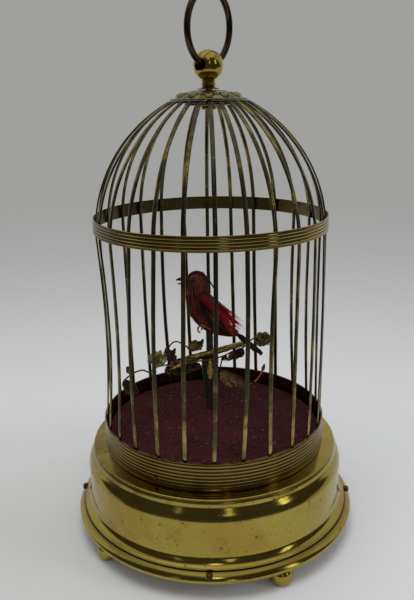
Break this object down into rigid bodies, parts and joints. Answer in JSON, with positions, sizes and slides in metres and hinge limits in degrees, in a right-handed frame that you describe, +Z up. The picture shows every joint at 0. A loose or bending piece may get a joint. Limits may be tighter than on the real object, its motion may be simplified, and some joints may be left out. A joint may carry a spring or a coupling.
{
  "type": "singing bird automaton",
  "caption": "Clockwork songbird on a post with a wired flower spray, in a domed cage of flat brass bars on a round drum base with ball feet, under a rosette, finial and pull ring.",
  "frame": {"origin": "on the floor, under the axis of the cage", "axes": "+Z up along the cage's axis, -Y towards the front, where the bird is seen from its side with its beak to the left, +X to the right seen from the front"},
  "size_m": [0.1548, 0.1548, 0.2829],
  "materials": {
    "polished_brass": "polished",
    "aged_brass": "aged",
    "movement_brass": "satin",
    "steel": "satin",
    "gilt_perch": "worn gilt",
    "wine_velvet": "pile",
    "rust_feathers": "matte",
    "black_feathers": "matte",
    "faded_spray": "matte",
    "dark_bark": "matte",
    "dark_wood": "satin",
    "horn": "satin",
    "bellows_skin": "matte"
  },
  "bodies": {
    "frame": {"foot_1": "polished_brass", "foot_2": "polished_brass", "foot_3": "polished_brass", "foot_4": "polished_brass", "base_flange": "polished_brass", "base_drum": "polished_brass", "bottom_plate": "movement_brass", "cage_ring": "polished_brass", "cage_floor": "wine_velvet", "cage_band": "aged_brass", "cage_bar_01": "aged_brass", "cage_bar_02": "aged_brass", "cage_bar_03": "aged_brass", "cage_bar_04": "aged_brass", "cage_bar_05": "aged_brass", "cage_bar_06": "aged_brass", "cage_bar_07": "aged_brass", "cage_bar_08": "aged_brass", "cage_bar_09": "aged_brass", "cage_bar_10": "aged_brass", "cage_bar_11": "aged_brass", "cage_bar_12": "aged_brass", "cage_bar_13": "aged_brass", "cage_bar_14": "aged_brass", "cage_bar_15": "aged_brass", "cage_bar_16": "aged_brass", "cage_bar_17": "aged_brass", "cage_bar_18": "aged_brass", "cage_bar_19": "aged_brass", "cage_bar_20": "aged_brass", "cage_bar_21": "aged_brass", "cage_bar_22": "aged_brass", "cage_bar_23": "aged_brass", "cage_bar_24": "aged_brass", "cage_bar_25": "aged_brass", "cage_bar_26": "aged_brass", "rosette": "aged_brass", "hub_nut": "aged_brass", "finial": "polished_brass", "bird_post": "dark_bark", "perch": "gilt_perch", "bird_body": "rust_feathers", "flower_spray": "faded_spray", "movement_lower_plate": "movement_brass", "movement_upper_plate": "movement_brass", "bellows_chest": "dark_wood", "bellows_leather": "bellows_skin", "whistle": "movement_brass"},
    "ring": {"pull_ring": "polished_brass"},
    "key": {"winding_key": "polished_brass"},
    "barrel": {"mainspring_barrel": "movement_brass"},
    "cams": {"cam_wheel": "movement_brass"},
    "governor": {"governor_fly": "steel"},
    "lever": {"start_stop_lever": "steel"},
    "rod": {"push_rod": "steel"},
    "head": {"bird_head": "black_feathers"},
    "beak": {"bird_lower_beak": "horn"},
    "tail": {"bird_tail": "black_feathers"},
    "board": {"bellows_board": "dark_wood"},
    "piston": {"whistle_piston": "steel"}
  },
  "joints": [
    {"name": "ring_swing", "type": "hinge", "parent": "frame", "child": "ring", "pos_m": [0, 0, 0.24755], "axis": [0.5948, 0.8039, 0], "range_deg": [-105, 105]},
    {"name": "key_wind", "type": "hinge", "parent": "frame", "child": "key", "pos_m": [-0.02159, -0.01224, 0.016], "axis": [0, 0, 1], "continuous": true},
    {"name": "barrel_spin", "type": "hinge", "parent": "frame", "child": "barrel", "pos_m": [-0.02159, -0.01224, 0.0314], "axis": [0, 0, 1], "continuous": true},
    {"name": "cam_spin", "type": "hinge", "parent": "frame", "child": "cams", "pos_m": [-0.0139, 0.0089, 0.0344], "axis": [0, 0, 1], "continuous": true},
    {"name": "governor_spin", "type": "hinge", "parent": "frame", "child": "governor", "pos_m": [-0.0237, 0.02587, 0.0344], "axis": [0, 0, 1], "continuous": true},
    {"name": "lever_swing", "type": "hinge", "parent": "frame", "child": "lever", "pos_m": [-0.008, 0.044, 0.016], "axis": [0, 0, 1], "range_deg": [0, 25]},
    {"name": "rod_lift", "type": "slide", "parent": "frame", "child": "rod", "axis": [0, 0, 1], "range_m": [0, 0.0024]},
    {"name": "head_turn", "type": "hinge", "parent": "frame", "child": "head", "pos_m": [-0.0082, 0.016, 0.1299], "axis": [0, 0, 1], "range_deg": [-25, 25]},
    {"name": "beak_open", "type": "hinge", "parent": "head", "child": "beak", "pos_m": [-0.0142, 0.016, 0.13392], "axis": [0, -1, 0], "range_deg": [0, 8]},
    {"name": "tail_dip", "type": "hinge", "parent": "frame", "child": "tail", "pos_m": [0.0138, 0.016, 0.1037], "axis": [0, 1, 0], "range_deg": [0, 12]},
    {"name": "board_pump", "type": "hinge", "parent": "frame", "child": "board", "pos_m": [0.046, -0.013, 0.032], "axis": [0, 1, 0], "range_deg": [-3, 5], "deforming": ["bellows_leather"]},
    {"name": "piston_slide", "type": "slide", "parent": "frame", "child": "piston", "axis": [1, 0, 0], "range_m": [0, 0.008], "stiffness_N_per_m": 20}
  ],
  "couplings": [
    {"joint": "cam_spin", "follows": "barrel_spin", "ratio": -4},
    {"joint": "governor_spin", "follows": "barrel_spin", "ratio": 24},
    {"joint": "beak_open", "follows": "rod_lift", "rad_per_m": 58},
    {"joint": "tail_dip", "follows": "rod_lift", "rad_per_m": 87}
  ]
}
